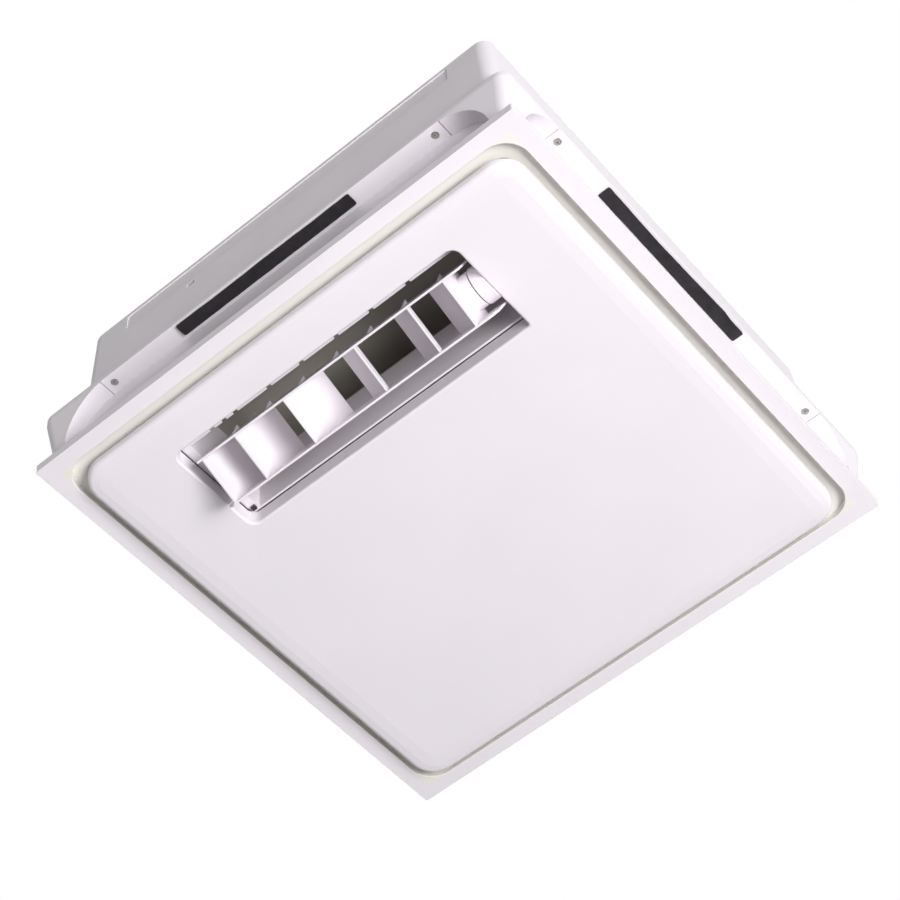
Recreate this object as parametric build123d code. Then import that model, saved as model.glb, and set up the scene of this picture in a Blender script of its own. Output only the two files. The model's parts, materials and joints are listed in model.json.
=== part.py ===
from build123d import *
import os
from math import atan2, cos, degrees, radians, sin, sqrt

# Recessed ceiling fan for a 600 mm lay-in ceiling grid.
# Millimetres, +Z up into the ceiling void, the room is below.
# The origin is the middle of the plane in which the trim frame rests on the grid.
# X runs along the outlet, the outlet is on the -Y side.

# Outer size, set by the grid
panel_size = 595.0
body_height = 182.0
corner_radius = 14.0

# General walls and clearances
wall = 2.5
thin_wall = 2.0
slip_gap = 0.3
run_gap = 1.5
screw_gap = 0.2
bearing_gap = 0.02
seat_overlap = 0.2

# Trim frame
rim_width = 17.0
rim_sheet = 2.5
rim_edge_height = 11.0
rim_edge_wall = 2.0
frame_opening_radius = 28.0
frame_floor_width = 18.0
frame_floor_radius = 12.0
gusset_reach = 42.0
frame_boss_radius = 4.2
frame_screw_inset = 18.5

# Face panel
panel_inset = 27.5
panel_drop = 13.0
panel_skirt_top = 0.0
panel_radius = 28.0
panel_roll = 5.5
# The face falls away toward its edge: distance in from the edge, fall
panel_crown = ((24.0, 0.0), (12.0, 0.5), (0.0, 2.0))
panel_rib = 1.8
panel_rib_height = 6.0
panel_rib_pitch = 96.0

# Outlet opening in the face panel
outlet_length = 342.0
outlet_left_reach = 8.0
outlet_width = 114.0
outlet_centre_y = -171.0
outlet_corner = 4.0
outlet_soft_corner = 10.0
outlet_lip = 2.5
outlet_return_top = 6.0

# Lower tray: tapered corner blocks with an arched recess along each side
tray_foot_inset = 9.0
ledge_height = 78.0
recess_half_length = 268.0
recess_depth = 20.3
recess_arch = 60.0
chamber_radius = 25.0
ledge_groove_x = 217.0
ledge_groove = 1.2

# Screws that join the tray to the upper housing
housing_screw_x = 206.0
housing_screw_inset = 10.0
housing_boss_radius = 4.5
housing_boss_height = 9.0

# Upper housing: a box with draft, set back on the -X and +Y sides
box_left = -241.5
box_right = 283.5
box_front = -295.5
box_rear = 233.5
box_draft = 2.5
box_corner = 14.0
box_top_roll = 5.0
emboss_depth = 1.2
emboss_left = -188.0
emboss_right = 232.0
emboss_low = 150.0
emboss_high = 173.0
vent_slot_x = -100.0
vent_slot_z = 140.0
vent_slot_length = 11.0
vent_slot_height = 5.0

# Foam pads under the ledge, with the shift of each along its side: front, right, rear, left
pad_length = 221.0
pad_shifts = (-5.5, -25.5, -5.5, -5.5)
pad_width = 16.0
pad_thickness = 3.0
pad_edge_inset = 0.5
pad_corner = 1.0

# Impeller
wheel_radius = 112.0
blade_inner_radius = 92.0
blade_count = 36
blade_thickness = 1.3
blade_sag = 5.0
blade_lean = 8.0
blade_tip_inset = 1.0
wheel_height = 70.0
wheel_lift = 7.5
wheel_ring = 3.0
wheel_ring_width = 6.0
hub_web = 2.2
hub_flat_radius = 50.0
hub_boss_radius = 11.0
hub_boss_length = 13.0
hub_web_drop = 40.0

# Scroll around the impeller, drawn with arcs from the corners of a small square
scroll_step = 24.0
scroll_small_radius = 130.0
scroll_tongue_angle = 240.0
scroll_ear_angles = (45.0, 135.0)
scroll_tongue_nose = 7.0
scroll_height = 84.0
scroll_centre_y = 60.0
scroll_lid = 2.0
motor_hole_gap = 6.0
scroll_ear_radius = 5.5
ear_stand_off = 4.2
elbow_ear_y = 38.0

# Inlet bell mouth
throat_radius = 86.0
bell_flare = 13.0
bell_rise = 5.5

# Outlet duct
duct_wall = 2.2
duct_bottom = 8.0
duct_flange = 9.0
duct_exit_y = -112.0
# Lip along the foot of the duct's front wall, and where notches cross it
duct_lip = 9.5
lip_notch = 6.0
lip_notches = (-139.5, -124.0, -109.5, -66.0, -24.5, 19.5, 63.0, 108.0)

# Swing louver, in its own frame with the pivot axis as origin
pivot_height = 3.5
swing_rest = -25.0
louver_depth = 41.0
louver_back = 12.0
louver_half_gap = 25.5
louver_sheet = 2.2
front_plate_half = 163.0
rear_plate_half = 168.0
rear_plate_chamfer = 9.0
louver_left = -155.0
louver_right = 143.0
vane_fronts = (-116.0, -54.0, 36.0, 101.0)
vane_middle = -7.0
vane_sweep = 32.0
vane_sheet = 1.6
vane_setback = 1.5
plate_rib_pitch = 43.0
plate_rib_height = 4.0
plate_rib_length = 26.0
hub_radius = 19.0
hub_length = 11.5
hub_rim = 1.6
fixed_boss_length = 10.5
fixed_boss_radius = 20.0
shaft_radius = 2.5
pin_radius = 3.0
bush_radius = 5.0
pivot_boss_radius = 8.0
pivot_boss_length = 6.0

# Swing motor, a small geared stepper with its shaft off centre
swing_can_radius = 14.0
swing_can_length = 19.0
swing_shaft_offset = 8.0
swing_ear_half = 18.5
swing_ear_radius = 3.6
swing_ear_sheet = 1.0
swing_collar_radius = 4.5
swing_collar_length = 1.5

# Fan motor
motor_radius = 44.0
motor_length = 40.0
motor_wall = 2.0
motor_plate_radius = 66.0
motor_plate_sheet = 2.0
motor_screw_circle = 58.0
motor_screw_count = 3
grommet_height = 3.0
grommet_radius = 6.5
grommet_waist = 0.9
grommet_waist_out = 0.4
fan_shaft_radius = 4.0
bearing_radius = 11.0
bearing_width = 7.0
stator_wall = 4.0
stator_height = 20.0
stator_slots = 12
stator_bore = 22.0
stator_clearance = 2.0
bearing_groove = 0.5
bearing_land = 2.0
winding_round = 1.5
shaft_chamfer = 0.8
can_round = 3.0
stator_tooth_tip = 3.0
slot_half_width = 2.8
slot_mouth = 0.8
winding_height = 5.0
magnet_gap = 0.6
magnet_height = 22.0
nut_flats = 13.0
nut_height = 6.0
shaft_tail = 3.0

# Screws
screw_radius = 2.0
screw_head_radius = 3.8
screw_head_height = 2.0
screw_drive_radius = 1.3
screw_drive_depth = 1.2
thread_gap = 0.02

# Catches that hold the face panel
catch_x = 238.0
catch_y = 150.0
catch_width = 20.0
catch_sheet = 2.0
catch_height = 22.0
catch_foot = 18.0
catch_boss = 6.0
catch_screw_rise = 11.0
post_radius = 6.0
stud_radius = 3.5
stud_neck = 2.4
socket_radius = 7.0
socket_height = 8.0
socket_slit = 1.0

# Suspension brackets on top
hanger_x = 190.0
hanger_front_y = -232.0
hanger_rear_y = 172.0
hanger_width = 34.0
hanger_sheet = 2.0
hanger_foot = 26.0
hanger_rise = 20.0
hanger_tab = 30.0
hanger_screw_x = 9.0
rod_hole_radius = 4.5
hanger_tab_round = 6.0

# Control box on the rear ledge
control_left = -110.0
control_right = 70.0
control_gap_y = 4.5
control_depth = 49.0
control_height = 44.0
control_wall = 1.8
lid_sheet = 1.5
board_sheet = 1.6
board_standoff = 6.0
board_half = 20.0
board_post_y = 15.0
lid_boss_radius = 4.0
terminal_inset = 40.0
box_fixing_inset = 14.0
# Parts on the circuit board: start along X, start along Y, length, width, rise
board_components = (
    (46.0, -14.0, 16.0, 12.0, 13.0),
    (46.0, 3.0, 24.0, 12.0, 16.0),
    (74.0, -15.0, 20.0, 6.0, 9.0),
    (76.0, 0.0, 10.0, 10.0, 2.0),
)
capacitor_starts = (16.0, 34.0)
capacitor_radius = 6.0
capacitor_height = 20.0
capacitor_y = -5.0
board_left_post = 22.0
board_right_post = 62.0
board_overhang = 8.0
terminal_length = 14.0
terminal_half = 15.0
terminal_height = 16.0
terminal_pitch = 10.0
terminal_screw_radius = 2.6
terminal_wire_radius = 2.2
terminal_wire_z = 5.0
box_corner_radius = 3.0
gland_radius = 9.0
gland_bore = 4.0
gland_length = 20.0

# Receiver for the hand control, in a corner of the outlet
receiver_inset = 4.0
receiver_length = 5.0
receiver_depth = 5.0
receiver_drop = 4.0

# Heights worked out from the sizes above
half = panel_size / 2
tray_base = rim_edge_height
ledge_top = ledge_height + wall
plate_top = ledge_top + thin_wall
flange_top = plate_top + wall
chamber_half = half - recess_depth - wall
catch_face = chamber_half - catch_boss
catch_screw_z = catch_height + catch_screw_rise
panel_half = half - panel_inset
panel_back = wall - panel_drop
scroll_top = plate_top + scroll_height
lid_top = scroll_top + scroll_lid
wheel_bottom = plate_top + wheel_lift
wheel_top = wheel_bottom + wheel_height
motor_seat = lid_top + grommet_height
motor_bottom = motor_seat - motor_length
stator_outer = motor_radius - motor_wall
stator_low = motor_bottom + motor_wall + bearing_width + stator_clearance
hub_web_z = wheel_top - hub_web_drop
duct_half_length = outlet_length / 2 - slip_gap
duct_half_width = outlet_width / 2 - slip_gap
passage_half = duct_half_length - duct_wall
passage_width = duct_half_width - duct_wall
scroll_east = scroll_small_radius + 2.5 * scroll_step
fan_x = passage_half - scroll_east
fan_y = scroll_centre_y
screw_inset = half - housing_screw_inset
frame_screw = half - frame_screw_inset
pad_inset = half - pad_edge_inset - pad_width / 2


def square(side, radius, height):
    """A rounded square sketch at a height."""
    return Plane.XY.offset(height) * RectangleRounded(side, side, radius)


def slab(sketch, height):
    """A sketch pushed up by a height."""
    return extrude(sketch, amount=height)


def rod(x, y, low, high, radius):
    """A round upright bar."""
    return Pos(x, y, low) * Cylinder(radius, high - low, align=(Align.CENTER, Align.CENTER, Align.MIN))


def block(x0, x1, y0, y1, z0, z1):
    """A box from its limits."""
    return Pos(x0, y0, z0) * Box(x1 - x0, y1 - y0, z1 - z0, align=(Align.MIN,) * 3)


def cross_rod(x0, x1, y, z, radius):
    """A round bar along X."""
    return Pos(x0, y, z) * Rot(0, 90, 0) * Cylinder(
        radius, x1 - x0, align=(Align.CENTER, Align.CENTER, Align.MIN))


def four_sides(shape):
    """The same shape on each side of the square body."""
    return [Rot(0, 0, 90 * turn) * shape for turn in range(4)]


def four_corners(x, y):
    """The four places at plus and minus x and y."""
    return [(sx * x, sy * y) for sx in (-1, 1) for sy in (-1, 1)]


def pan_screw(x, y, head_z, length, down=True):
    """A pan head screw with its head's underside at head_z; down means that the shank points down."""
    side = 1 if down else -1
    shank = rod(x, y, *sorted((head_z, head_z - side * length)), screw_radius)
    head = rod(x, y, *sorted((head_z, head_z + side * screw_head_height)), screw_head_radius)
    top = head_z + side * screw_head_height
    drive = rod(x, y, *sorted((top, top - side * screw_drive_depth)), screw_drive_radius)
    return shank + head - drive


def make_trim_frame():
    opening = half - rim_width
    rim = slab(square(panel_size, rim_edge_wall, 0), rim_edge_height)
    channel = slab(square(panel_size - 2 * rim_edge_wall, rim_edge_wall / 2, rim_sheet), rim_edge_height)
    flange_half = opening + rim_edge_wall
    flange = slab(square(2 * flange_half, frame_opening_radius + rim_edge_wall, 0), rim_edge_height)
    corners = []
    corner_start = half - gusset_reach
    for sx, sy in four_corners(1, 1):
        reach = sorted((sx * corner_start, sx * (half - rim_edge_wall)))
        depth = sorted((sy * corner_start, sy * (half - rim_edge_wall)))
        corners.append(block(*reach, *depth, tray_base - rim_sheet, tray_base))
        corners.append(rod(sx * frame_screw, sy * frame_screw, rim_sheet, tray_base, frame_boss_radius))
    body = (rim - channel) + flange + corners
    body -= slab(square(2 * opening, frame_opening_radius, -1), rim_edge_height + 2)
    floor_low = tray_base - rim_sheet
    floor = slab(square(2 * flange_half, frame_opening_radius + rim_edge_wall, floor_low), rim_sheet)
    floor -= slab(square(2 * (opening - frame_floor_width), frame_floor_radius, 0), tray_base + 1)
    body += floor
    for x, y in four_corners(frame_screw, frame_screw):
        body -= rod(x, y, rim_sheet, tray_base + 1, screw_radius + thread_gap)
    front = body.faces().sort_by(Axis.Z)[0]
    return fillet(front.inner_wires()[0].edges(), rim_edge_wall / 2)


def tray_form(inset):
    """The tray's outer form, drawn in by an inset on every side."""
    foot = square(panel_size - 2 * (tray_foot_inset + inset), corner_radius - inset, tray_base + inset)
    top = square(panel_size - 2 * inset, corner_radius - inset, ledge_height)
    form = loft([foot, top], ruled=True)
    rise = plate_top - ledge_height
    form += slab(top, rise + (1 if inset else 0))
    width = recess_half_length + inset
    roof = ledge_height + inset
    profile = Plane.XZ * Pos(0, roof / 2) * Rectangle(2 * width, roof)
    top_corners = profile.vertices().group_by(Axis.Z)[-1]
    profile = fillet(top_corners, recess_arch + inset)
    reach = recess_depth + inset
    recess = Pos(0, reach - half, 0) * extrude(profile, amount=reach + 1)
    for cut in four_sides(recess):
        form -= cut
    return form


def make_lower_tray():
    body = tray_form(0) - tray_form(wall)
    body -= slab(square(2 * chamber_half, chamber_radius, tray_base - 1), wall + 2)
    holes = []
    for side in (-1, 1):
        boss = rod(side * housing_screw_x, -screw_inset, ledge_height + wall / 2, plate_top,
                   housing_boss_radius)
        for piece in four_sides(boss):
            body += piece
        sink = rod(side * housing_screw_x, -screw_inset, ledge_height - 1,
                   ledge_height + screw_head_height, screw_head_radius + screw_gap)
        through = rod(side * housing_screw_x, -screw_inset, ledge_height, plate_top + 1,
                      screw_radius + screw_gap)
        line = block(side * ledge_groove_x, side * ledge_groove_x + ledge_groove, -half - 1,
                     -half + recess_depth, ledge_height - 1, ledge_height + ledge_groove)
        holes += [sink, through, line]
    for hole in holes:
        for cut in four_sides(hole):
            body -= cut
    for x, y in four_corners(frame_screw, frame_screw):
        body -= rod(x, y, tray_base - 1, tray_base + wall + 1, screw_radius + screw_gap)
    for x, y in four_corners(1, catch_y):
        reach = sorted((x * catch_face, x * (chamber_half + wall / 2)))
        body += block(*reach, y - catch_width / 2, y + catch_width / 2,
                      catch_height, catch_height + catch_foot)
        body -= cross_rod(*sorted((x * (catch_face - 1), x * chamber_half)), y, catch_screw_z,
                          screw_radius + thread_gap)
    return body


def box_form(inset, extra=0.0):
    """The upper housing's box, drawn in by an inset; extra lengthens it downwards."""
    length = box_right - box_left - 2 * inset
    depth = box_rear - box_front - 2 * inset
    centre = Pos((box_left + box_right) / 2, (box_front + box_rear) / 2)
    low = Plane.XY.offset(plate_top) * centre * RectangleRounded(length, depth, box_corner - inset)
    high = Plane.XY.offset(body_height - inset) * centre * RectangleRounded(
        length - 2 * box_draft, depth - 2 * box_draft, box_corner - inset)
    form = loft([low, high], ruled=True)
    top_edges = form.faces().sort_by(Axis.Z)[-1].edges()
    form = fillet(top_edges, box_top_roll - inset)
    if extra:
        form += extrude(low, amount=-extra)
    return form


def make_upper_housing():
    body = slab(square(panel_size, corner_radius, plate_top), wall) + box_form(0)
    boss_top = flange_top + housing_boss_height
    bosses = [rod(side * housing_screw_x, -screw_inset, plate_top, boss_top, housing_boss_radius)
              for side in (-1, 1)]
    body -= box_form(wall, 1.0)
    for side, boss in zip((-1, 1), bosses):
        x = side * housing_screw_x
        body += four_sides(boss)
        body += block(x - wall, x + wall, box_front + wall / 2, -screw_inset, plate_top, boss_top)
        pilot = rod(x, -screw_inset, plate_top - 1, boss_top - wall, screw_radius + thread_gap)
        body -= four_sides(pilot)
    skin = box_form(0) - box_form(emboss_depth)
    window = block(emboss_left, emboss_right, box_front - 1, box_front + box_draft + wall,
                   emboss_low, emboss_high)
    body -= skin & window
    slot = Plane.XZ * Pos(vent_slot_x, vent_slot_z) * SlotOverall(vent_slot_length, vent_slot_height)
    body -= Pos(0, box_front + box_draft + 2 * wall, 0) * extrude(slot, amount=box_draft + 3 * wall)
    for x, y in hanger_places():
        for side in (-1, 1):
            body -= rod(x + side * hanger_screw_x, y, body_height - 2 * wall, body_height + 1,
                        screw_radius + thread_gap)
    for x, y in box_fixing_places():
        body -= rod(x, y, plate_top - 1, flange_top + 1, screw_radius + thread_gap)
    return body


def hanger_places():
    """Where the suspension brackets stand on the top."""
    return [(sx * hanger_x, y) for sx in (-1, 1) for y in (hanger_front_y, hanger_rear_y)]


def make_orifice_plate():
    side = 2 * (screw_inset - housing_boss_radius - 1)
    body = slab(square(side, corner_radius, ledge_top), thin_wall)
    body -= block(-passage_half, passage_half, outlet_centre_y - passage_width,
                  outlet_centre_y + passage_width, ledge_top - 1, plate_top + 1)
    outer = throat_radius + bell_flare
    body -= rod(fan_x, fan_y, ledge_top - 1, plate_top + 1, outer)
    low = plate_top + bell_rise - bell_flare - thin_wall
    rim = plate_top + bell_rise
    lip = Plane.XZ * make_face(
        Line((throat_radius, rim), (throat_radius, low + bell_flare))
        + RadiusArc((throat_radius, low + bell_flare), (outer, low), -bell_flare)
        + Line((outer, low), (outer, low + thin_wall))
        + RadiusArc((outer, low + thin_wall), (throat_radius + thin_wall, low + bell_flare),
                    bell_flare - thin_wall)
        + Line((throat_radius + thin_wall, low + bell_flare), (throat_radius + thin_wall, rim))
        + Line((throat_radius + thin_wall, rim), (throat_radius, rim)))
    bell = revolve(lip, Axis.Z)
    skirt = Plane.XZ * Pos(outer, (low + plate_top) / 2) * Rectangle(2 * thin_wall, plate_top - low)
    body += Pos(fan_x, fan_y, 0) * (bell + revolve(skirt, Axis.Z))
    for x, y in scroll_screw_places() + elbow_screw_places() + duct_screw_places():
        body -= rod(x, y, ledge_top - 1, plate_top + 1, screw_radius + thread_gap)
    return body


def scroll_arcs():
    """Centres and radii of the scroll's arcs, from the widest to the narrowest."""
    shift = scroll_step / 2
    return [((fan_x + shift, fan_y - shift), scroll_small_radius + 2 * scroll_step),
            ((fan_x + shift, fan_y + shift), scroll_small_radius + scroll_step),
            ((fan_x - shift, fan_y + shift), scroll_small_radius)]


def scroll_passage():
    """The air passage of the scroll in plan: three tangent arcs, a tongue and a diffuser."""
    angles = [(0, 90), (90, 180), (180, scroll_tongue_angle)]
    path = []
    for (centre, radius), (start, stop) in zip(scroll_arcs(), angles):
        path.append(CenterArc(centre, radius, start, stop - start))
    east = path[0] @ 0
    tongue = path[-1] @ 1
    path.append(Line((east.X, duct_exit_y), east))
    path.append(Line(tongue, (-east.X, duct_exit_y)))
    path.append(Line((-east.X, duct_exit_y), (east.X, duct_exit_y)))
    passage = make_face(Curve() + path)
    nose = passage.vertices().sort_by_distance(tongue)[0]
    return fillet(nose, scroll_tongue_nose)


def make_scroll_casing():
    passage = scroll_passage()
    outline = offset(passage, amount=thin_wall, kind=Kind.ARC)
    body = Pos(0, 0, plate_top) * extrude(outline, amount=scroll_height + scroll_lid)
    body -= Pos(0, 0, plate_top) * extrude(passage, amount=scroll_height)
    body -= block(-half, half, -half, duct_exit_y, plate_top - 1, lid_top + 1)
    body -= rod(fan_x, fan_y, scroll_top - 1, lid_top + 1, motor_radius + motor_hole_gap)
    for x, y in motor_screw_places():
        body -= rod(x, y, scroll_top - 1, lid_top + 1, screw_radius + thread_gap)
    for x, y in scroll_screw_places():
        body += rod(x, y, plate_top, plate_top + wall, scroll_ear_radius)
    body -= Pos(0, 0, plate_top) * extrude(passage, amount=scroll_height)
    for x, y in scroll_screw_places():
        body -= rod(x, y, plate_top - 1, plate_top + wall + 1, screw_radius + screw_gap)
    return body


def scroll_screw_places():
    """Ears at the foot of the scroll: one on each wide arc, the others on the straight walls."""
    away = thin_wall + ear_stand_off
    places = []
    for (centre, radius), turn in zip(scroll_arcs(), scroll_ear_angles):
        reach = radius + away
        places.append((centre[0] + reach * cos(radians(turn)), centre[1] + reach * sin(radians(turn))))
    (x, y), radius = scroll_arcs()[2]
    tongue = (x + radius * cos(radians(scroll_tongue_angle)), y + radius * sin(radians(scroll_tongue_angle)))
    run_x, run_y = -passage_half - tongue[0], duct_exit_y - tongue[1]
    run = sqrt(run_x * run_x + run_y * run_y)
    places.append((tongue[0] + run_x / 2 + away * run_y / run, tongue[1] + run_y / 2 - away * run_x / run))
    places.append((passage_half + away, 0.0))
    return places


def motor_screw_places():
    """Three places around the fan shaft."""
    turns = [radians(90 + 360 * turn / motor_screw_count) for turn in range(motor_screw_count)]
    reach = motor_screw_circle
    return [(fan_x + reach * cos(turn), fan_y + reach * sin(turn)) for turn in turns]


def elbow_passage():
    """The elbow's air passage in the Y-Z plane."""
    back = outlet_centre_y - passage_width
    bend = min(duct_exit_y - back, scroll_height) - 2 * thin_wall
    corner = (back + bend, scroll_top)
    return make_face(
        Line((duct_exit_y, plate_top), (duct_exit_y, scroll_top))
        + Line((duct_exit_y, scroll_top), corner)
        + CenterArc((back + bend, scroll_top - bend), bend, 90, 90)
        + Line((back, scroll_top - bend), (back, plate_top))
        + Line((back, plate_top), (duct_exit_y, plate_top)))


def along_x(face, low, high):
    """Push a face drawn in Y and Z along X from low to high."""
    placed = Plane(origin=(low, 0, 0), x_dir=(0, 1, 0), z_dir=(1, 0, 0)) * face
    return extrude(placed, amount=high - low, dir=(1, 0, 0))


def make_outlet_elbow():
    passage = elbow_passage()
    outer = offset(passage, amount=thin_wall, kind=Kind.ARC)
    length = passage_half + thin_wall
    body = along_x(outer, -length, length) - along_x(passage, -passage_half, passage_half)
    body -= block(-half, half, duct_exit_y, 0, 0, body_height)
    body -= block(-half, half, -half, 0, 0, plate_top)
    for x, y in elbow_screw_places():
        body += rod(x, y, plate_top, plate_top + wall, scroll_ear_radius)
    body -= along_x(passage, -passage_half, passage_half)
    for x, y in elbow_screw_places():
        body -= rod(x, y, plate_top - 1, plate_top + wall + 1, screw_radius + screw_gap)
    return body


def elbow_screw_places():
    """Ears at the foot of the elbow's end walls."""
    x = passage_half + thin_wall + ear_stand_off
    return [(side * x, outlet_centre_y + front * elbow_ear_y) for side in (-1, 1) for front in (-1, 1)]


def louver_place():
    """The louver's own frame, swung to its rest angle."""
    return Pos(0, outlet_centre_y, pivot_height) * Rot(swing_rest, 0, 0)


def make_louver_duct():
    outer = block(-duct_half_length, duct_half_length, outlet_centre_y - duct_half_width,
                  outlet_centre_y + duct_half_width, duct_bottom, ledge_top)
    flange = block(-duct_half_length - duct_flange, duct_half_length + duct_flange,
                   outlet_centre_y - duct_half_width - duct_flange,
                   outlet_centre_y + duct_half_width + duct_flange, ledge_top - duct_wall, ledge_top)
    inner = block(-passage_half, passage_half, outlet_centre_y - passage_width,
                  outlet_centre_y + passage_width, -half, half)
    body = outer + flange - inner
    body += block(-duct_half_length - outlet_left_reach, -passage_half, outlet_centre_y - duct_half_width,
                  outlet_centre_y + duct_half_width, duct_bottom, duct_bottom + duct_wall)
    body += block(-duct_half_length, -passage_half, outlet_centre_y - pivot_boss_radius,
                  outlet_centre_y + pivot_boss_radius, pivot_height, duct_bottom + duct_wall)
    boss_start = passage_half - fixed_boss_length
    body += cross_rod(boss_start, duct_half_length, outlet_centre_y, pivot_height, fixed_boss_radius)
    body += cross_rod(-duct_half_length, -passage_half + pivot_boss_length, outlet_centre_y, pivot_height,
                      pivot_boss_radius)
    body -= cross_rod(boss_start - 1, half, outlet_centre_y, pivot_height, swing_collar_radius + screw_gap)
    body -= cross_rod(-half, pivot_boss_length + 1 - passage_half, outlet_centre_y, pivot_height,
                      bush_radius)
    hollow = cross_rod(boss_start - 1, passage_half, outlet_centre_y, pivot_height,
                       fixed_boss_radius - duct_wall)
    core = cross_rod(boss_start - 1, passage_half, outlet_centre_y, pivot_height,
                     swing_collar_radius + duct_wall)
    body -= hollow - core
    front = outlet_centre_y - passage_width
    lip = block(-passage_half - seat_overlap, passage_half + seat_overlap, front - seat_overlap,
                front + duct_lip, duct_bottom, duct_bottom + duct_wall)
    for x in lip_notches:
        lip -= block(x - lip_notch / 2, x + lip_notch / 2, front, front + duct_lip + 1,
                     duct_bottom - 1, duct_bottom + duct_wall + 1)
    body += lip
    for x, y in duct_screw_places():
        body -= rod(x, y, 0, ledge_top + 1, screw_radius + screw_gap)
    for y in swing_ear_places():
        body -= cross_rod(passage_half - 1, half, y, swing_motor_z(), screw_radius + thread_gap)
    return body


def duct_screw_places():
    """Screws through the duct's top flange."""
    x = duct_half_length + duct_flange / 2
    y = duct_half_width + duct_flange / 2
    places = [(side * x, outlet_centre_y) for side in (-1, 1)]
    between = passage_half * 2 / 3
    places += [(side * between, outlet_centre_y + front * y) for side in (-1, 1) for front in (-1, 1)]
    return places


def swing_motor_z():
    """The height of the swing motor's middle, above its shaft."""
    return pivot_height + swing_shaft_offset


def swing_ear_places():
    """The Y of the two ears of the swing motor."""
    return [outlet_centre_y + side * swing_ear_half for side in (-1, 1)]


def scoop(front_x, depth_front, depth_back, sweep):
    """One curved sheet across the louver: upright at the front, leaning by sweep at the back."""
    run = depth_back - depth_front
    bend = (sweep * sweep + run * run) / (2 * abs(sweep))
    turn = 1 if sweep > 0 else -1
    start = (front_x, depth_front)
    centre = (front_x + turn * bend, depth_front)
    swept = degrees(atan2(run, bend - abs(sweep)))
    if turn > 0:
        outer = CenterArc(centre, bend, 180, -swept)
        inner = CenterArc(centre, bend - vane_sheet, 180, -swept)
    else:
        outer = CenterArc(centre, bend, 0, swept)
        inner = CenterArc(centre, bend - vane_sheet, 0, swept)
    section = make_face(outer + Line(outer @ 1, inner @ 1) + inner + Line(inner @ 0, start))
    sheet = Plane.XZ * section
    gap = louver_half_gap
    return Pos(0, gap, 0) * extrude(sheet, amount=2 * gap, dir=(0, -1, 0))


def make_louver_frame():
    gap = louver_half_gap
    length = louver_right - louver_left + 2 * louver_sheet
    front = block(-front_plate_half, front_plate_half, -gap - louver_sheet, -gap, -louver_depth, louver_back)
    rear = block(-rear_plate_half, rear_plate_half, gap, gap + louver_sheet, -louver_depth, louver_back)
    tips = rear.edges().filter_by(Axis.Y).group_by(Axis.Z)[0]
    rear = chamfer(tips, rear_plate_chamfer)
    ends = [block(louver_left - louver_sheet, louver_left, -gap, gap, -louver_depth, louver_back),
            block(louver_right, louver_right + louver_sheet, -gap, gap, -louver_depth, louver_back)]
    body = front + rear + ends
    count = int(length // plate_rib_pitch) - 1
    for index in range(count + 1):
        x = plate_rib_pitch * (index - count / 2)
        rib = Plane.YZ * make_face(Polyline(
            (-gap - louver_sheet, louver_back), (-gap - louver_sheet - plate_rib_height, louver_back),
            (-gap - louver_sheet, louver_back - plate_rib_length), close=True))
        body += Pos(x, 0, 0) * extrude(rib, amount=vane_sheet)
    bury = louver_sheet / 2
    body += scoop(louver_left - bury, bury - louver_depth, louver_back - bury, vane_sweep)
    body += scoop(louver_right + bury, bury - louver_depth, louver_back - bury, -vane_sweep)
    start = louver_right + louver_sheet
    hub = cross_rod(start, start + hub_length, 0, 0, hub_radius)
    hub -= cross_rod(start + hub_rim, start + hub_length + 1, 0, 0, hub_radius - hub_rim)
    hub += cross_rod(start, start + hub_length, 0, 0, shaft_radius + 2 * hub_rim)
    body += hub
    body -= cross_rod(start - louver_sheet - 1, start + hub_length + 1, 0, 0, shaft_radius)
    stub = louver_left - louver_sheet
    body += cross_rod(stub - hub_rim, stub, 0, 0, pivot_boss_radius)
    body -= cross_rod(stub - hub_rim - 1, stub + louver_sheet + 1, 0, 0, pin_radius)
    return louver_place() * body


def vane(front_x):
    """One inner scoop; the ones left of the middle lean right, the others lean left."""
    sweep = vane_sweep if front_x < vane_middle else -vane_sweep
    return louver_place() * scoop(front_x, vane_setback - louver_depth, louver_back - vane_setback, sweep)


def make_pivot_pin():
    stub = louver_left
    length = -duct_half_length
    return louver_place() * cross_rod(length, stub, 0, 0, pin_radius - bearing_gap)


def make_pivot_bush():
    start = -duct_half_length
    stop = -passage_half + pivot_boss_length
    body = cross_rod(start, stop, outlet_centre_y, pivot_height, bush_radius)
    body += cross_rod(stop, stop + hub_rim, outlet_centre_y, pivot_height, bush_radius + hub_rim)
    return body - cross_rod(start - 1, stop + hub_rim + 1, outlet_centre_y, pivot_height, pin_radius)


def make_swing_motor():
    face_x = duct_half_length
    middle = swing_motor_z()
    body = cross_rod(face_x, face_x + swing_can_length, outlet_centre_y, middle, swing_can_radius)
    rear_rim = body.faces().sort_by(Axis.X)[-1].edges()
    body = fillet(rear_rim, 1.0)
    ear = Plane.YZ * SlotOverall(2 * (swing_ear_half + swing_ear_radius), 2 * swing_ear_radius)
    body += Pos(face_x, outlet_centre_y, middle) * extrude(ear, amount=swing_ear_sheet)
    for y in swing_ear_places():
        body -= cross_rod(face_x - 1, face_x + swing_ear_sheet + 1, y, middle, screw_radius + screw_gap)
    collar_start = face_x - swing_collar_length
    body += cross_rod(collar_start, face_x, outlet_centre_y, pivot_height, swing_collar_radius)
    body += block(face_x, face_x + swing_can_length - 2, outlet_centre_y - swing_can_radius / 2,
                  outlet_centre_y + swing_can_radius / 2, middle, middle + swing_can_radius + wall)
    body -= cross_rod(collar_start - 1, face_x + swing_can_length / 2, outlet_centre_y, pivot_height,
                      shaft_radius + bearing_gap)
    return body


def make_swing_shaft():
    start = louver_right
    stop = duct_half_length + swing_can_length / 2 - bearing_gap
    return louver_place() * cross_rod(start, stop, 0, 0, shaft_radius)


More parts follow.
